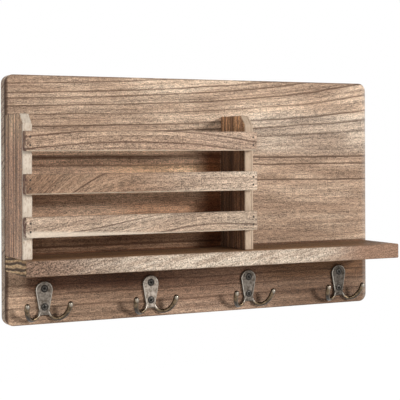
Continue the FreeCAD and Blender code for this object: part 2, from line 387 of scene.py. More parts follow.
def bay_painted_light(x, z, under):
    """Painted light and shade on the board behind the slats: lighter overall, darker further down, retinted
    bands where the key lamp lights the foot of each gap, and a painted shadow beside the right upright.
    """
    behind = ramped(x, bay_right + 4.0, bay_right - 2.0)
    enclosed = behind * ramped(z, -46.0, -56.0) * (1.0 - under)
    sunken = behind * ramped(z, -70.0, -150.0) * (1.0 - under)
    upper_gap = enclosed * (ramped(z, -63.0, -69.0) * ramped(z, -95.0, -91.0))
    lower_gap = enclosed * (ramped(z, -103.0, -108.0) * ramped(z, -136.0, -132.0))
    rightward = ramped(x, -130.0, -60.0)
    # Painted light over the bay, painted shade deeper in it, painted shade and light on the lamp-lit bands,
    # and the painted shadow of the right upright.
    return [(enclosed, (1.55, 1.46, 1.39)),
            (sunken, (0.63, 0.575, 0.53)),
            (upper_gap, blended(rightward, (0.90, 0.94, 0.98), (1.10, 1.10, 1.02))),
            (lower_gap, blended(rightward, (0.96, 1.01, 1.06), (0.78, 0.70, 0.65))),
            (enclosed * ramped(x, -10.0, 14.0), (0.33, 0.20, 0.135))]


def under_shelf_painted_shade(x, z, under):
    """Painted shade on the board under the shelf: darkest just below it on the left and lower down on the
    right, less at the far left end, and a painted contact shadow where the shelf top meets the board.
    """
    deep = ramped(z, -186.0, -200.0)
    on_left = blended(deep, (0.345, 0.262, 0.228), (0.72, 0.68, 0.65))
    on_right = blended(deep, (0.57, 0.48, 0.385), (0.445, 0.39, 0.36))
    shelf_shade = blended(ramped(x, -90.0, 0.0), on_left, (0.72, 0.66, 0.64))
    shelf_shade = blended(ramped(x, 40.0, 110.0), shelf_shade, on_right)
    shelf_shade = blended(ramped(x, -188.0, -202.0), shelf_shade, (0.96, 0.92, 0.88))
    # A painted shadow band just under the shelf, and a painted contact shadow along the top of the shelf.
    shade_band = under * ramped(z, -208.0, -188.0) * ramped(x, -192.0, -170.0)
    corner = ramped(z, shelf_high.z + 2.4, shelf_high.z + 1.2) * ramped(z, shelf_high.z - 4.0, shelf_high.z)
    return [(under, shelf_shade), (shade_band, (0.57, 0.50, 0.465)), (corner, (0.42, 0.33, 0.29))]


def open_tints(x, z, height):
    """Tints of the board's open top and right: lighter and greyer over the top, darker and greyer to the
    right, and a pale streak under the shelf.
    """
    lightened_top = ramped(x, -110.0, -40.0) * ramped(z, -50.0, 5.0) * ramped(x, 160.0, 60.0, 0.5, 1.0)
    weathered = ramped(x, 40.0, 80.0) * ramped(z, -62.0, -50.0) * ramped(z, -5.0, -16.0)
    return [(lightened_top, (1.30, 1.38, 1.43)),
            (ramped(x, 40.0, 130.0), (0.94, 0.935, 0.93)),
            (weathered, (1.0, 1.09, 1.17)),
            (growth_lines(height, pale_streak) * ramped(x, 60.0, 20.0), (1.5, 1.5, 1.5))]


def back_board_material():
    """Tan above the shelf and darker below it, with dark lines that fan out to the right."""
    material, point = new_wood("back_board_wood")
    x, y, z = axes(point)
    fanned = z - reckon("MAXIMUM", z - fan_foot, 0.0) * (x * (x * fan_bend + fan_slope))
    height = wavered(point, fanned + (y - board_low.y) * 0.5, 4.0, 0.9)
    facing = ramped(y, board_low.y + 3.0, board_low.y + 1.0)
    grain = grained({
        "Point": joined(x, y, fanned), "Pith": (0.0, 60.0, -120.0), "Ring Spacing": 9.0, "Waviness": 9.0,
        "Ring Strength": 0.22, "Growth Lines": board_lines(x, z, height, facing), "Fibre Strength": 1.0,
        "Pore Strength": 0.25, "Pale Wood": (0.575, 0.416, 0.297), "Brown Wood": (0.37, 0.245, 0.166),
        "Ring Wood": (0.085, 0.043, 0.025)})
    under = ramped(z, shelf_high.z + 4.0, shelf_high.z - 12.0)
    color = grain["Color"]
    for share, tint in bay_painted_light(x, z, under) + under_shelf_painted_shade(x, z, under) + open_tints(x, z, height):
        color = tinted(share, color, tint)
    etched = growth_lines(height, right_lines) * ramped(x, 30.0, 50.0)
    color = blended(etched, color, (0.07, 0.036, 0.022))
    color = blended(ramped(x, board_high.x - 7.0, board_high.x - 2.0, 0.0, 0.2), color, (0.62, 0.56, 0.50))
    color = blended(facing, grain["Color"], color)

    left = board_low.x
    color = tinted(ramped(x, left + 0.8, left + 0.2), color, (0.99, 1.08, 1.16))
    edges = edges_of("back_board", point, 2.0)[0]
    color = blended(edges * ramped(x, left + 6.0, left + 1.5, 0.65, 0.95), color, (0.09, 0.055, 0.038))
    rims = reckon("MAXIMUM", ramped(y, board_low.y + 3.4, board_low.y + 1.6), ramped(y, -2.6, -1.0))
    color = blended(ramped(x, left + 4.0, left + 1.8) * rims * 0.8, color, (0.06, 0.032, 0.022))
    return stain(material, color, grain)


dress("back_board", back_board_material())


# Shelf
# One board as wide as the back board, screwed to it from behind. Its front edge was sanded
# pale, it is browner at both ends, and its left end shows dark rings across the end grain.

end_lines = [(-155.2, 4.2, 1.0), (-160.4, 3.6, 1.0), (-165.8, 4.0, 1.0), (-171.2, 4.8, 1.0)]


def sanded_front(point, x):
    """The pale front edge, flecked, and browner at both ends."""
    slanted = step("ShaderNodeMapping", {"Vector": point, "Rotation": (0.0, math.radians(13.0), 0.0)})
    speckle = cloud(slanted, (1.7, 1.1, 1.1), 1.0)
    glints = cloud(slanted, (6.0, 1.8, 1.8), 1.0)
    streaks = cloud(slanted, (52.0, 6.0, 6.0), 3.0, 0.6)
    left_end = ramped(x, -70.0, -205.0)
    right_end = ramped(x, 100.0, 175.0)
    color = blended(ramped(streaks, 0.36, 0.64), (0.585, 0.48, 0.377), (0.405, 0.308, 0.23))
    color = blended(left_end, color, (0.21, 0.132, 0.09))
    color = blended(right_end, color, (0.285, 0.17, 0.112))
    flecks = ramped(speckle, 0.36, 0.64, 0.34, -0.34) + ramped(glints, 0.40, 0.62, -0.17, 0.17)
    flecks = flecks * (left_end * 0.55 - right_end * 0.25 + 1.0)
    color = tinted(1.0, color, grey(flecks + 1.0))
    return blended(ramped(speckle, 0.60, 0.72, 0.0, 0.5), color, (0.22, 0.14, 0.095))


def end_grain(point, y, z):
    """The sawn end, with its dark rings."""
    waves = cloud(point, (60.0, 24.0, 13.0), 1.0) - 0.5
    rising = z + (y + 45.0) * 0.085 + waves * 6.0
    blotches = ramped(cloud(point, (9.0, 9.0, 2.0)), 0.45, 0.62)
    color = blended(blotches, (0.66, 0.46, 0.26), (0.36, 0.21, 0.10))
    return blended(ramped(growth_lines(rising, end_lines), 0.1, 0.7), color, (0.060, 0.030, 0.012))


def shelf_material():
    """Brown on top, pale on the front edge, with end grain."""
    material, point = new_wood("shelf_wood")
    x, y, z = axes(point)
    grain = grained({
        "Point": point, "Pith": (0.0, -120.0, -205.0), "Ring Spacing": 5.2, "Waviness": 5.0,
        "Ring Strength": 0.75, "Fibre Strength": 0.7, "Pore Strength": 0.5,
        "Pale Wood": (0.213, 0.118, 0.059), "Brown Wood": (0.134, 0.075, 0.039),
        "Ring Wood": (0.06, 0.032, 0.02)})
    # Painted light and shade: the shelf's top lighter towards its front, darker towards the board where the
    # slats shade it.
    shaded_top = tinted(1.0, grain["Color"], grey(ramped(y, -45.0, -74.0, 1.0, 1.7)))
    front = ramped(y, shelf_low.y + 1.2, shelf_low.y + 0.2)
    edges, ends = edges_of("shelf", point, 1.4)
    color = blended(front, shaded_top, sanded_front(point, x))
    color = blended(ends, color, end_grain(point, y, z))
    color = blended(edges * 0.3, color, (0.16, 0.10, 0.07))
    return stain(material, color, grain)


dress("shelf", shelf_material())


# Uprights
# Two thin boards on edge that carry the slats, glued to the shelf and screwed from behind.
# Their grain stands upright, their faces took a brown stain, and their front edges stayed pale. The right
# one's face colours carry painted shade for its inner face in the bay, with painted light towards the top,
# and its outer face is lightened again.

upright_looks = {
    "upright_left": {
        "offset": (0.0, 0.0, 0.0), "face": (0.56, 0.36, 0.245), "deep": (0.38, 0.23, 0.152),
        "bare": (0.68, 0.58, 0.47), "top_light": 1.0, "seam": 0.0,
        "lines": [(-66.5, 1.8, 0.5), (-50.0, 3.0, 0.4), (-40.0, 3.4, 0.7), (-33.0, 2.6, 0.4),
                  (-26.0, 3.4, 0.8), (-18.0, 2.6, 0.7)]},
    # The right upright's face colours are darkened as painted shade for its inner face in the bay; top_light
    # paints light on the top of that face.
    "upright_right": {
        "offset": (340.0, 25.0, 90.0), "face": (0.200, 0.106, 0.060), "deep": (0.116, 0.065, 0.037),
        "bare": (0.53, 0.40, 0.29), "top_light": 3.0, "seam": 0.75,
        "lines": [(-61.0, 4.0, 0.5), (-52.0, 3.0, 0.35), (-40.0, 8.0, 0.85), (-26.0, 5.0, 0.6)]},
}
stripe_depth = 0.4
upright_chamfer = 10.0
bay_outer = box_mm("upright_right")[1].x


def bare_wood(point, x, high, bare, seam):
    """Pale sawn wood, with a dark seam beside its right edge."""
    speckle = cloud(point, (1.8, 1.8, 4.0), 3.0, 0.7)
    color = blended(ramped(speckle, 0.46, 0.70, 0.0, 0.7), bare, (0.42, 0.29, 0.20))
    return blended(growth_lines(x, [(high.x - 2.6, 0.9, seam)]), color, (0.10, 0.06, 0.04))


def upright_material(name, offset, face, deep, bare, top_light, seam, lines):
    """Brown faces with upright grain, and pale sawn front edges."""
    material, point = new_wood(name + "_wood")
    x, y, z = axes(point)
    low, high = box_mm(name)
    upended = joined(z, y * 0.42, x)
    swayed = cloud(upended, (60.0, 9.0, 9.0)) - 0.5
    grain = grained({
        "Point": reckon_vector("ADD", upended, offset), "Pith": (0.0, -80.0, 30.0), "Ring Spacing": 5.5,
        "Waviness": 5.0, "Ring Strength": 0.4, "Growth Lines": growth_lines(y + swayed * 6.0, lines),
        "Fibre Strength": 0.9, "Pore Strength": 0.5, "Pale Wood": face, "Brown Wood": deep,
        "Ring Wood": (0.09, 0.05, 0.035)})
    stripes = cloud(upended, (150.0, 1.5, 9.0), 1.0)
    striped = ramped(stripes, 0.34, 0.66, 1.0 - stripe_depth, 1.0 + stripe_depth)
    # Painted light: the top of the face lighter by top_light.
    lighter = ramped(z, high.z - 35.0, high.z - 8.0)
    color = tinted(lighter, grain["Color"], (top_light, top_light * 1.07, top_light * 1.04))
    color = tinted(1.0, color, grey(striped))
    # The right upright's outer face lightened, undoing the painted shade in its colours.
    color = tinted(ramped(x, bay_outer - 0.8, bay_outer - 0.2), color, (1.5, 1.75, 1.9))
    slope_height = high.z - low.y - upright_chamfer
    slope = ramped(z - y, slope_height - 0.9, slope_height - 0.1)
    front = reckon("MAXIMUM", ramped(y, low.y + 1.4, low.y + 0.4), slope)
    color = blended(front, color, bare_wood(point, x, high, bare, seam))
    color = blended(edges_of(name, point, 1.2)[0] * 0.25, color, (0.20, 0.13, 0.09))
    return stain(material, color, grain)


for upright_name, look in upright_looks.items():
    dress(upright_name, upright_material(upright_name, **look))


# Slats
# Three planed strips nailed over the fronts of the uprights. Each was cut from another stick,
# so its figure runs its own way; each is paler along its edges, most along the lower, and the first has a
# sanded pale band.

slat_looks = {
    "slat_1": {
        "cream": 0.75, "left_tone": (0.85, 0.855, 0.855), "right_tone": (0.87, 0.90, 0.91),
        "pale": (0.56, 0.42, 0.31), "brown": (0.47, 0.33, 0.235),
        "rise": 0.155, "centre": -60.0, "left_bend": 0.0, "right_bend": 0.0014,
        "lines": [(-96.0, 2.0, 0.4), (-103.3, 2.3, 1.0), (-108.5, 9.0, 0.22), (-112.0, 1.6, 0.3),
                  (-120.8, 2.3, 1.0)]},
    "slat_2": {
        "cream": 0.0, "left_tone": (0.625, 0.555, 0.505), "right_tone": (1.25, 1.38, 1.49),
        "pale": (0.56, 0.41, 0.295), "brown": (0.40, 0.27, 0.185),
        "rise": 0.0, "centre": -95.0, "left_bend": 0.0048, "right_bend": 0.0,
        "lines": [(-28.0, 2.4, 0.4), (-41.8, 2.6, 0.6), (-55.3, 2.2, 0.4), (-66.5, 2.3, 1.0),
                  (-79.0, 1.8, 0.15)]},
    "slat_3": {
        "cream": 0.0, "left_tone": (0.94, 0.93, 0.905), "right_tone": (0.92, 0.92, 0.93),
        "pale": (0.52, 0.37, 0.265), "brown": (0.42, 0.285, 0.2),
        "rise": 0.0, "centre": -95.0, "left_bend": 0.00047, "right_bend": 0.0007,
        "lines": [(-31.0, 2.2, 1.0), (-36.5, 1.6, 0.4), (-42.6, 2.2, 1.0), (-48.5, 1.8, 0.5)]},
}
sanding_slope = 0.04
sanding_end = -55.0
brad_radius = 0.9
brads_low, brads_high = box_mm("slat_1_brads")
brad_column = (brads_high.x - brads_low.x) / 2 - brad_radius
brad_row = (brads_high.z - brads_low.z) / 2 - brad_radius


def slat_figure(x, z, rise, centre, left_bend, right_bend):
    """The height of a point across the figure, which may rise and bend away from a centre."""
    left = reckon("MINIMUM", x - centre, 0.0)
    right = reckon("MAXIMUM", x - centre, 0.0)
    return z - x * rise + left * left * left_bend + right * right * right_bend


def slat_wear(name, point, color, cream):
    """A slat's colour, paler along its edges and most along the lower ones, with its burnt ends and the
    stains round its brads.
    """
    x, y, z = axes(point)
    low, high = box_mm(name)
    middle = (low + high) / 2
    edges, ends = edges_of(name, point, 1.6)
    lower_part = ramped(z, middle.z + 2.0, middle.z - 6.0, 0.1, 0.9)
    color = blended(edges * lower_part, color, (0.74, 0.60, 0.45))
    foot = low.z + sanding_slope * sanding_end
    sanded = ramped(z + x * sanding_slope, foot + 1.5, foot - 1.5, 0.0, cream)
    color = blended(sanded, color, (0.74, 0.62, 0.49))
    burnt = ends * ramped(cloud(point, (4.0, 4.0, 4.0), 3.0), 0.40, 0.58, 0.25, 0.95)
    color = blended(burnt, color, (0.13, 0.06, 0.04))
    smoked = ramped(x, low.x + 6.5, low.x + 1.0) * ramped(cloud(point, (3.2, 3.2, 3.2)), 0.46, 0.60)
    color = blended(smoked * 0.75, color, (0.11, 0.055, 0.04))
    across, along, upward = axes(reckon_vector("SUBTRACT", point, tuple(middle)))
    across = reckon("ABSOLUTE", across) - brad_column
    upward = reckon("ABSOLUTE", upward) - brad_row
    away = reckon("SQRT", across * across + upward * upward)
    return blended(ramped(away, 1.5, 0.8, 0.0, 0.8), color, (0.06, 0.035, 0.025))


def slat_material(name, cream, left_tone, right_tone, pale, brown, lines, **bends):
    """Tan wood with its own figure and its wear."""
    material, point = new_wood(name + "_wood")
    x, y, z = axes(point)
    figure = slat_figure(x, z, **bends)
    height = wavered(point, figure + (y - box_mm(name)[0].y) * 0.4, 3.0, 0.9)
    grain = grained({
        "Point": joined(x, y, figure), "Pith": (0.0, 60.0, -90.0), "Ring Spacing": 7.5, "Waviness": 14.0,
        "Ring Strength": 0.18, "Growth Lines": growth_lines(height, lines), "Fibre Strength": 1.1,
        "Pore Strength": 0.5, "Pale Wood": pale, "Brown Wood": brown, "Ring Wood": (0.085, 0.042, 0.028)})
    tone = blended(ramped(x, -120.0, 20.0), left_tone, right_tone)
    color = slat_wear(name, point, tinted(1.0, grain["Color"], tone), cream)
    return stain(material, color, grain)


for slat_name, look in slat_looks.items():
    dress(slat_name, slat_material(slat_name, **look))


# Cast hooks
# Four double-prong hooks, each one zinc casting plated in antique bronze. The plating is
# rubbed pale on the rims and the tips and stays dark where hands don't reach; the prongs'
# undersides are darkened further as painted shade. Each plate is countersunk twice.

def settled(carrier):
    """Turn an object with modifiers into one with a plain mesh."""
    seen_by = bpy.context.evaluated_depsgraph_get()
    plain = bpy.data.meshes.new_from_object(carrier.evaluated_get(seen_by))
    carrier.modifiers.clear()
    carrier.data = plain
    return carrier


def shown(name, data):
    """A new object in the scene."""
    made = bpy.data.objects.new(name, data)
    bpy.context.scene.collection.objects.link(made)
    return made


def mesh_of(form, name):
    """A mesh with the shape of an edited form."""
    mesh = bpy.data.meshes.new(name)
    form.to_mesh(mesh)
    return mesh


def grow(name, mesh, tree, values):
    """Run a tree on a mesh and keep the result as a plain mesh."""
    carrier = shown(name, mesh)
    modifier = carrier.modifiers.new(name, "NODES")
    modifier.node_group = tree
    for item in tree.interface.items_tree:
        if item.in_out == "INPUT" and item.name in values:
            modifier[item.identifier] = values[item.name]
    return settled(carrier)


def copies_tree():
    """Copies of one fastener or casting on points, each turned a little about its own axis."""
    tree, given, result = open_group("copies_on_points", "GeometryNodeTree", {
        "Geometry": "Geometry", "Copy": "Object", "Facing": "Float", "Most Turn": "Float", "Seed": "Int",
        "Material": "Material"}, {"Geometry": "Geometry"})
    copy = step("GeometryNodeObjectInfo", {"Object": given["Copy"]}, "Geometry")
    place = source(tree, "GeometryNodeInputPosition")
    marked = step("GeometryNodeStoreNamedAttribute", {"Geometry": copy, "Name": "copy_point", "Value": place},
                  data_type="FLOAT_VECTOR", domain="POINT")
    turn = step("FunctionNodeRandomValue",
                {2: given["Most Turn"] * -1.0, 3: given["Most Turn"], "Seed": given["Seed"]},
                1, data_type="FLOAT")
    placed = step("GeometryNodeInstanceOnPoints",
                  {"Points": given["Geometry"], "Instance": marked,
                   "Rotation": joined(0.0, turn, given["Facing"])})
    tone = step("FunctionNodeRandomValue", {2: 0.0, 3: 1.0, "Seed": given["Seed"]}, 1, data_type="FLOAT")
    toned = step("GeometryNodeStoreNamedAttribute", {"Geometry": placed, "Name": "copy_tone", "Value": tone},
                 data_type="FLOAT", domain="INSTANCE")
    real = step("GeometryNodeRealizeInstances", {"Geometry": toned})
    painted = step("GeometryNodeSetMaterial", {"Geometry": real, "Material": given["Material"]})
    feed(tree, result["Geometry"], painted)
    return tree


def mixed(share, first, second):
    """Two numbers mixed by a share."""
    return step("ShaderNodeMix", {0: share, 2: first, 3: second})


def gathered(tree, parts):
    """Several geometries in one."""
    join = put(tree, "GeometryNodeJoinGeometry")
    for part in parts:
        feed(tree, join.inputs[0], part)
    return Wire(tree, join.outputs[0])


def quarter_rod(start, end, start_radius, end_radius, start_level):
    """A tapered rod along a quarter of an ellipse, level at one end and upright at the other."""
    bow = 0.5523
    level, upright = (bow, 0.0) if start_level else (0.0, bow)
    (x, y, z), (end_x, end_y, end_z) = axes(start), axes(end)
    first = joined(mixed(level, x, end_x), mixed(1 / 3, y, end_y), mixed(upright, z, end_z))
    last = joined(mixed(upright, end_x, x), mixed(2 / 3, y, end_y), mixed(level, end_z, z))
    line = step("GeometryNodeCurvePrimitiveBezierSegment",
                {"Start": start, "Start Handle": first, "End Handle": last, "End": end, "Resolution": 24})
    radius = mixed(source(start.tree, "GeometryNodeSplineParameter", "Factor"), start_radius, end_radius)
    ring = put(start.tree, "GeometryNodeCurvePrimitiveCircle", {"Resolution": 24, "Radius": 1.0})
    return step("GeometryNodeCurveToMesh",
                {"Curve": line, "Profile Curve": Wire(start.tree, ring.outputs[0]), "Scale": radius,
                 "Fill Caps": True})


def prongs_tree():
    """Both prongs of a hook: each a tapered rod that dips, turns up and ends in a dome."""
    tree, given, result = open_group("cast_prongs", "GeometryNodeTree", {
        "Geometry": "Geometry", "Root": "Vector", "Lowest": "Vector", "Tip": "Vector",
        "Root Radius": "Float", "Middle Radius": "Float", "Tip Radius": "Float"}, {"Geometry": "Geometry"})
    lowest, tip, tip_radius = given["Lowest"], given["Tip"], given["Tip Radius"]
    down = quarter_rod(given["Root"], lowest, given["Root Radius"], given["Middle Radius"], False)
    up = quarter_rod(lowest, tip, given["Middle Radius"], tip_radius, True)
    ball = step("GeometryNodeMeshUVSphere", {"Segments": 24, "Rings": 16, "Radius": tip_radius})
    dome = step("GeometryNodeTransform", {"Geometry": ball, "Translation": tip})
    right = gathered(tree, (down, up, dome))
    turned_over = step("GeometryNodeTransform", {"Geometry": right, "Scale": (-1.0, 1.0, 1.0)})
    left = step("GeometryNodeFlipFaces", {0: turned_over})
    feed(tree, result["Geometry"], gathered(tree, (given["Geometry"], right, left)))
    return tree


plate_thickness = 3.2 * mm
crown_radius = 9.0 * mm
crown_centre = Vector((0.0, -1.6 * mm))
waist = Vector((5.7 * mm, -20.5 * mm))
plate_corner = Vector((7.47 * mm, -28.47 * mm))
arch_top = Vector((0.0, -26.5 * mm))
prong_root = Vector((4.4 * mm, -1.6 * mm, -21.5 * mm))
prong_lowest = Vector((13.0 * mm, -3.6 * mm, -30.6 * mm))
prong_tip = Vector((22.6 * mm, -16.8 * mm, -15.0 * mm))
rim_rounding = 0.9 * mm
sink_radius = 1.7 * mm
sink_flare = 2.1 * mm
sink_depth = 2.4 * mm


def swept_arc(start, direction, end, steps):
    """Points of the arc from start to end that leaves start along a direction."""
    normal = Vector((-direction.y, direction.x)).normalized()
    chord = end - start
    radius = chord.length_squared / (2 * chord.dot(normal))
    centre = start + normal * radius
    first = start - centre
    sweep = first.angle_signed(end - centre)
    turns = [Matrix.Rotation(-sweep * number / steps, 2) for number in range(steps + 1)]
    return [centre + turn @ first for turn in turns]


def plate_outline():
    """The plate's outline, clockwise from the crown's top: crown, flank, flared corner and arch."""
    to_waist = waist - crown_centre
    bearing = math.atan2(to_waist.y, to_waist.x) + math.acos(crown_radius / to_waist.length)
    steps = 20
    crown = []
    for number in range(steps + 1):
        angle = math.pi / 2 + (bearing - math.pi / 2) * number / steps
        crown.append(crown_centre + Vector((math.cos(angle), math.sin(angle))) * crown_radius)
    flank = swept_arc(waist, waist - crown[-1], plate_corner, 8)
    arch = swept_arc(arch_top, Vector((1.0, 0.0)), plate_corner, 8)
    right = crown + flank + arch[-2:0:-1]
    left = [Vector((-point.x, point.y)) for point in reversed(right) if point.x > 1e-6]
    return right + [arch_top] + left


def plate_mesh():
    """The plate as a closed slab whose front rim is rounded."""
    form = bmesh.new()
    corners = [form.verts.new((point.x, 0.0, point.y)) for point in plate_outline()]
    back = form.faces.new(corners)
    front = bmesh.ops.extrude_face_region(form, geom=[back])["geom"]
    moved = [part for part in front if isinstance(part, bmesh.types.BMVert)]
    bmesh.ops.translate(form, verts=moved, vec=(0.0, -plate_thickness, 0.0))
    bmesh.ops.recalc_face_normals(form, faces=form.faces)
    rim = [edge for edge in form.edges if all(vert.co.y < -plate_thickness * 0.9 for vert in edge.verts)]
    bmesh.ops.bevel(form, geom=rim, offset=rim_rounding, segments=3, profile=0.5, affect="EDGES")
    return mesh_of(form, "hook_plate")


def sink(place):
    """The cone of a countersink that opens towards the front, for cutting."""
    form = bmesh.new()
    made = bmesh.ops.create_cone(form, cap_ends=True, segments=40, radius1=sink_radius,
                                 radius2=sink_radius + sink_flare, depth=sink_depth)
    turn = Matrix.Rotation(math.pi / 2, 3, "X")
    bmesh.ops.rotate(form, verts=made["verts"], cent=(0.0, 0.0, 0.0), matrix=turn)
    bmesh.ops.translate(form, verts=made["verts"], vec=place)
    return shown("sink", mesh_of(form, "sink"))


def carve(body, tool, self_crossing=False):
    """Cut a tool's shape out of a body and drop the tool."""
    cut = body.modifiers.new("cut", "BOOLEAN")
    cut.object = tool
    cut.solver = "EXACT"
    cut.use_self = self_crossing
    settled(body)
    bpy.data.objects.remove(tool)


def neighbours(vert):
    """The vertices that share an edge with one."""
    return [edge.other_vert(vert) for edge in vert.link_edges]


def rub(mesh):
    """Mark how proud each point of a casting stands, and how far it faces down."""
    form = bmesh.new()
    form.from_mesh(mesh)
    form.normal_update()
    proud = {}
    for vert in form.verts:
        around = [other.co for other in neighbours(vert)]
        middle = sum(around, Vector()) / len(around)
        spread = sum((place - vert.co).length for place in around) / len(around)
        proud[vert.index] = (vert.co - middle).dot(vert.normal) / spread
    for turn in range(3):
        proud = {vert.index: (proud[vert.index] + sum(proud[other.index] for other in neighbours(vert)))
                 / (1 + len(vert.link_edges)) for vert in form.verts}
    below = {vert.index: max(0.0, -vert.normal.z) for vert in form.verts}
    form.free()
    for name, values in (("rubbed", proud), ("underside", below)):
        marks = mesh.attributes.new(name, "FLOAT", "POINT")
        for index, value in values.items():
            marks.data[index].value = value


screws_low, screws_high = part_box("hook_1_screws")
hook_screw_radius = 3.4 * mm
upper_screw_height = screws_high[2] - hook_screw_radius
screw_spacing = upper_screw_height - screws_low[2] - hook_screw_radius

casting = grow("hook_casting", plate_mesh(), prongs_tree(),
               {"Root": prong_root, "Lowest": prong_lowest, "Tip": prong_tip,
                "Root Radius": 1.3 * mm, "Middle Radius": 2.05 * mm, "Tip Radius": 2.7 * mm})
fused = casting.modifiers.new("fused", "REMESH")
fused.mode = "VOXEL"
fused.voxel_size = 0.42 * mm
soft = casting.modifiers.new("soft", "SMOOTH")
soft.factor = 0.5
soft.iterations = 5
settled(casting)
for drop in (0.0, screw_spacing):
    carve(casting, sink((0.0, rim_rounding - plate_thickness, -drop)))
rub(casting.data)
casting.data.polygons.foreach_set("use_smooth", [True] * len(casting.data.polygons))


def attribute(tree, name, which="Fac"):
    """What an attribute of the mesh says."""
    return source(tree, "ShaderNodeAttribute", which, attribute_name=name)


def new_copied_material(name, apart):
    """A material for copies: the point on the copy, and that point moved by the copy's tone."""
    material, tree = new_material(name)
    point = in_millimetres(attribute(tree, "copy_point", "Vector"))
    moved = joined(attribute(tree, "copy_tone") * apart, 0.0, 0.0)
    return material, point, reckon_vector("ADD", point, moved)


def countersunk(x, z):
    """How near a point lies to either screw of its hook."""
    half = screw_spacing / 2 / mm
    upward = reckon("ABSOLUTE", z + half) - half
    return ramped(reckon("SQRT", x * x + upward * upward), 4.2, 3.7)


def bronze_material():
    """Antique bronze: dark in the hollows, mottled on the face, rubbed pale on rims and tips, with painted
    shade under the prongs.
    """
    material, point, shifted = new_copied_material("hook_bronze", 400.0)
    x, y, z = axes(point)
    proud = attribute(point.tree, "rubbed")
    tone = attribute(point.tree, "copy_tone")
    mottle = cloud(shifted, (3.4, 3.4, 3.4), 4.0, 0.65)
    grit = cloud(shifted, (0.9, 0.9, 0.9), 2.0, 0.6)
    face = blended(ramped(mottle, 0.36, 0.66), (0.186, 0.159, 0.134), (0.062, 0.049, 0.037))
    face = tinted(1.0, face, grey(tone * 1.15 + 0.32))
    rod = reckon("MAXIMUM", ramped(reckon("ABSOLUTE", x), 7.5, 10.5), ramped(z, -25.5, -29.0))
    dark_rod = blended(ramped(mottle, 0.35, 0.65), (0.145, 0.103, 0.062), (0.052, 0.036, 0.021))
    rim = ramped(proud + (mottle - 0.5) * 0.06, 0.032, 0.066) * (0.5 - rod * 0.5)
    rim = rim * ramped(z, -26.0, -22.0, 0.35, 1.0)
    tip = ramped(y, -17.6, -19.5, 0.0, 0.3)
    # Painted shade: the down-facing sides of the prongs darker and less metallic.
    below = ramped(attribute(point.tree, "underside"), 0.15, 0.7) * ramped(z, -22.0, -26.0, 0.0, 0.85)
    grime = reckon("MAXIMUM", countersunk(x, z), ramped(proud, -0.02, -0.10))
    color = blended(rod, face, dark_rod)
    color = blended(reckon("MAXIMUM", rim, tip), color, (0.66, 0.61, 0.53))
    color = blended(below, color, (0.014, 0.010, 0.007))
    color = blended(grime * 0.85, color, (0.014, 0.010, 0.007))
    rough = 0.30 - rod * 0.1 + mottle * 0.28 + grime * 0.25
    return feed_shader(material, {"Base Color": color, "Metallic": 0.9 - below,
                                  "Specular IOR Level": 0.15, "Roughness": rough,
                                  "Normal": bumped(mottle * 0.6 + grit, 0.10 * mm)})


def finish_copies(name, places, copy, most_turn, seed, material, replaced, facing=0.0):
    """Copies of one part on its places, as one piece that stands for CAD nodes."""
    points = bpy.data.meshes.new(name)
    points.from_pydata(places, [], [])
    piece = grow(name, points, copies,
                 {"Copy": copy, "Facing": facing, "Most Turn": most_turn, "Seed": seed, "Material": material})
    bpy.data.objects.remove(copy)
    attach(piece, "root")
    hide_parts(*replaced)


copies = copies_tree()
hook_names = ["hook_%d" % number for number in range(1, 5)]
hook_places = []
for hook_name in hook_names:
    low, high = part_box(hook_name)
    hook_places.append(((low[0] + high[0]) / 2, high[1], upper_screw_height))
finish_copies("hook_castings", hook_places, casting, 0.0, 1267, bronze_material(), hook_names)


# Hook screws
# Blackened screws with raised countersunk heads and a cross recess, two in each hook. Their
# heads sit in the countersinks and stop at any angle.

def spun(name, profile, steps=32):
    """A closed solid of revolution about the Y axis from (radius, depth) points."""
    form = bmesh.new()
    chain = [form.verts.new((radius, depth, 0.0)) for radius, depth in profile]
    sides = [form.edges.new(pair) for pair in zip(chain, chain[1:])]
    bmesh.ops.spin(form, geom=chain + sides, cent=(0.0, 0.0, 0.0), axis=(0.0, 1.0, 0.0), angle=math.tau,
                   steps=steps)
    bmesh.ops.remove_doubles(form, verts=form.verts, dist=0.001 * mm)
    bmesh.ops.recalc_face_normals(form, faces=form.faces)
    return shown(name, mesh_of(form, name))


def driver_cross(width, length, depth):
    """The tapered cross that a driver's point leaves, for cutting."""
    form = bmesh.new()
    taper = 0.45
    for size_x, size_z in ((length, width), (width, length)):
        for vert in bmesh.ops.create_cube(form, size=1.0)["verts"]:
            inner = vert.co.y > 0
            vert.co.x *= size_x * (taper if inner else 1.0)
            vert.co.z *= size_z * (taper if inner else 1.0)
            vert.co.y = depth if inner else -depth
    return shown("driver_cross", mesh_of(form, "driver_cross"))


def wood_screw(name, head_radius, shank_radius, length, rise):
    """A countersunk screw whose head rises by a low dome, its rim at depth 0."""
    turns = (0.0, 0.35, 0.7, 1.05, 1.35)
    dome = [(head_radius * math.sin(turn), -rise * math.cos(turn)) for turn in turns]
    rim = [(head_radius, 0.05 * mm), (head_radius, 0.3 * mm)]
    foot = head_radius - shank_radius + 0.3 * mm
    screw = spun(name, dome + rim + [(shank_radius, foot), (shank_radius, length), (0.0, length)])
    carve(screw, driver_cross(head_radius * 0.36, head_radius * 1.3, head_radius * 0.5), True)
    return screw


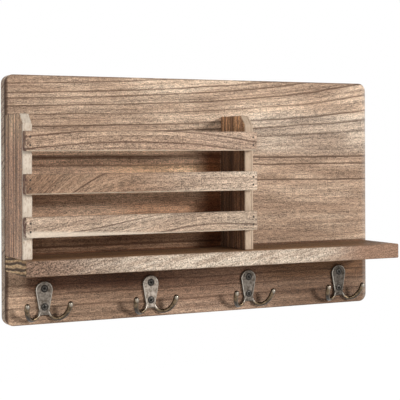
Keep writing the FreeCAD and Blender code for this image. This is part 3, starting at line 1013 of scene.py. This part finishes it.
def steel_material(name, plain, worn, rough, rim_start):
    """Steel with a thin finish, worn in places, with painted shade inside the recess and a painted shadow
    round the head from rim_start outward.
    """
    material, point, shifted = new_copied_material(name, 300.0)
    x, y, z = axes(point)
    spots = cloud(shifted, (1.1, 1.1, 1.1), 3.0, 0.6)
    reach = reckon("SQRT", x * x + z * z)
    # Painted shade inside the recess, and a painted shadow round the head from rim_start outward.
    sunk = reckon("MAXIMUM", ramped(y, 0.05, 0.5), ramped(reach, rim_start, rim_start + 0.4))
    color = blended(ramped(spots, 0.42, 0.66), plain, worn)
    color = blended(sunk, color, (0.012, 0.010, 0.009))
    return feed_shader(material, {"Base Color": color, "Metallic": 0.85,
                                  "Roughness": spots * 0.3 + rough, "Normal": bumped(spots, 0.06 * mm)})


blackened = steel_material("blackened_steel", (0.024, 0.021, 0.018), (0.085, 0.076, 0.065), 0.3, 2.5)
hook_screw_places = []
for hook_name in hook_names:
    low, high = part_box(hook_name + "_screws")
    for height in (high[2] - hook_screw_radius, low[2] + hook_screw_radius):
        hook_screw_places.append(((low[0] + high[0]) / 2, low[1], height))
hook_screw = wood_screw("hook_screw", hook_screw_radius, 1.6 * mm, high[1] - low[1], 0.45 * mm)
finish_copies("hook_screws", hook_screw_places, hook_screw, math.radians(40.0), 7, blackened,
              [name + "_screws" for name in hook_names])


# Brads
# Headless wire nails, two at each end of each slat, driven a little below the surface.

brad_names = ["slat_%d_brads" % number for number in range(1, 4)]
brad_edge = brad_radius * mm
brad_places = []
for brad_name in brad_names:
    low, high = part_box(brad_name)
    for x in (low[0] + brad_edge, high[0] - brad_edge):
        for z in (low[2] + brad_edge, high[2] - brad_edge):
            brad_places.append((x, low[1], z))
brad_length = high[1] - low[1]
brad = spun("brad", [(0.0, 0.0), (brad_edge * 0.6, 0.05 * mm), (brad_edge * 0.95, 0.25 * mm),
                     (brad_edge, 0.5 * mm), (brad_edge, brad_length), (0.0, brad_length)], 14)
brad_wire = steel_material("brad_wire", (0.05, 0.043, 0.038), (0.11, 0.085, 0.065), 0.4, 9.0)
finish_copies("brads", brad_places, brad, math.radians(90.0), 3, brad_wire, brad_names)


# Back screws
# Bright zinc screws driven through the back board into the shelf and the uprights, their
# flat heads sunk just below the board's back.

def back_screw_pieces(name, node_names, head_radius, shank_radius, count):
    """The screws of some CAD nodes, with their heads to the wall."""
    places = []
    for node_name in node_names:
        low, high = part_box(node_name)
        wide = high[0] - low[0] - 2 * head_radius
        tall = high[2] - low[2] - 2 * head_radius
        for number in range(count):
            share = number / (count - 1)
            places.append((low[0] + head_radius + wide * share, high[1], low[2] + head_radius + tall * share))
    screw = wood_screw(name + "_pattern", head_radius, shank_radius, high[1] - low[1], 0.05 * mm)
    finish_copies(name, places, screw, math.radians(40.0), 5, zinc, node_names, math.pi)


zinc = steel_material("zinc_steel", (0.52, 0.52, 0.50), (0.34, 0.34, 0.33), 0.22, 9.0)
back_screw_pieces("shelf_screw_set", ["shelf_screws"], 3.5 * mm, 1.75 * mm, 3)
back_screw_pieces("upright_screw_set", ["upright_left_screws", "upright_right_screws"], 3.0 * mm, 1.5 * mm, 2)


# Stage
# A pale floor below the part, soft lamps, and a camera where the photograph was taken from.

camera_data = bpy.data.cameras.new("camera")
camera_data.lens = 106.0
camera_data.sensor_width = 36.0
camera_data.shift_y = -0.1236
camera = shown("camera", camera_data)
camera.location = (-0.56792, -1.13978, -0.05132)
camera.rotation_euler = (math.radians(90.0), 0.0034, -0.4679)
bpy.context.scene.camera = camera


def soft_lamp(name, way, distance, size, power):
    """A square area lamp that faces the middle of the part from some way off."""
    data = bpy.data.lights.new(name, "AREA")
    data.size = size
    data.energy = power
    lamp = shown(name, data)
    lamp.location = (cad_low + cad_high) / 2 + Vector(way) * distance
    lamp.rotation_euler = (-Vector(way)).to_track_quat("-Z", "Y").to_euler()


soft_lamp("key_lamp", (0.540, -0.803, 0.252), 4.5, 0.9, 163.0)
soft_lamp("upper_lamp", (0.10, -0.70, 0.707), 4.5, 1.6, 19.0)
soft_lamp("left_lamp", (-0.97, -0.22, 0.10), 3.0, 1.5, 27.0)
soft_lamp("front_lamp", (-0.45, -0.89, 0.05), 3.0, 1.2, 9.5)
soft_lamp("back_lamp", (0.22, 0.94, 0.25), 3.0, 1.5, 45.0)


def seen(tree):
    """1 for what the camera sees, in a mirror or through glass too, and 0 for light on surfaces."""
    path = outputs_of(tree, put(tree, "ShaderNodeLightPath"))
    bent = reckon("MAXIMUM", path["Is Glossy Ray"], path["Is Transmission Ray"])
    return reckon("MAXIMUM", path["Is Camera Ray"], bent)


world = bpy.data.worlds.new("world")
world.use_nodes = True
bpy.context.scene.world = world
background = world.node_tree.nodes["Background"].inputs
feed(world.node_tree, background["Color"], (1.0, 1.0, 1.0))
feed(world.node_tree, background["Strength"], seen(world.node_tree) * 0.87 + 0.13)


def floor_material():
    """A pale matt floor that looks white to the camera except where the part shades it."""
    material, tree = new_material("floor_paint")
    return feed_shader(material, {"Base Color": (0.9, 0.9, 0.9), "Roughness": 1.0,
                                  "Specular IOR Level": 0.0, "Emission Color": (1.0, 1.0, 1.0),
                                  "Emission Strength": seen(tree) * 0.84})


floor_half = 5.0
floor_height = -1.3
floor_corners = [(-floor_half, -floor_half, floor_height), (floor_half, -floor_half, floor_height),
                 (floor_half, floor_half, floor_height), (-floor_half, floor_half, floor_height)]
floor_mesh = bpy.data.meshes.new("floor")
floor_mesh.from_pydata(floor_corners, [], [(0, 1, 2, 3)])
floor_mesh.materials.append(floor_material())
floor = shown("floor", floor_mesh)

bpy.context.scene.view_settings.view_transform = "Standard"
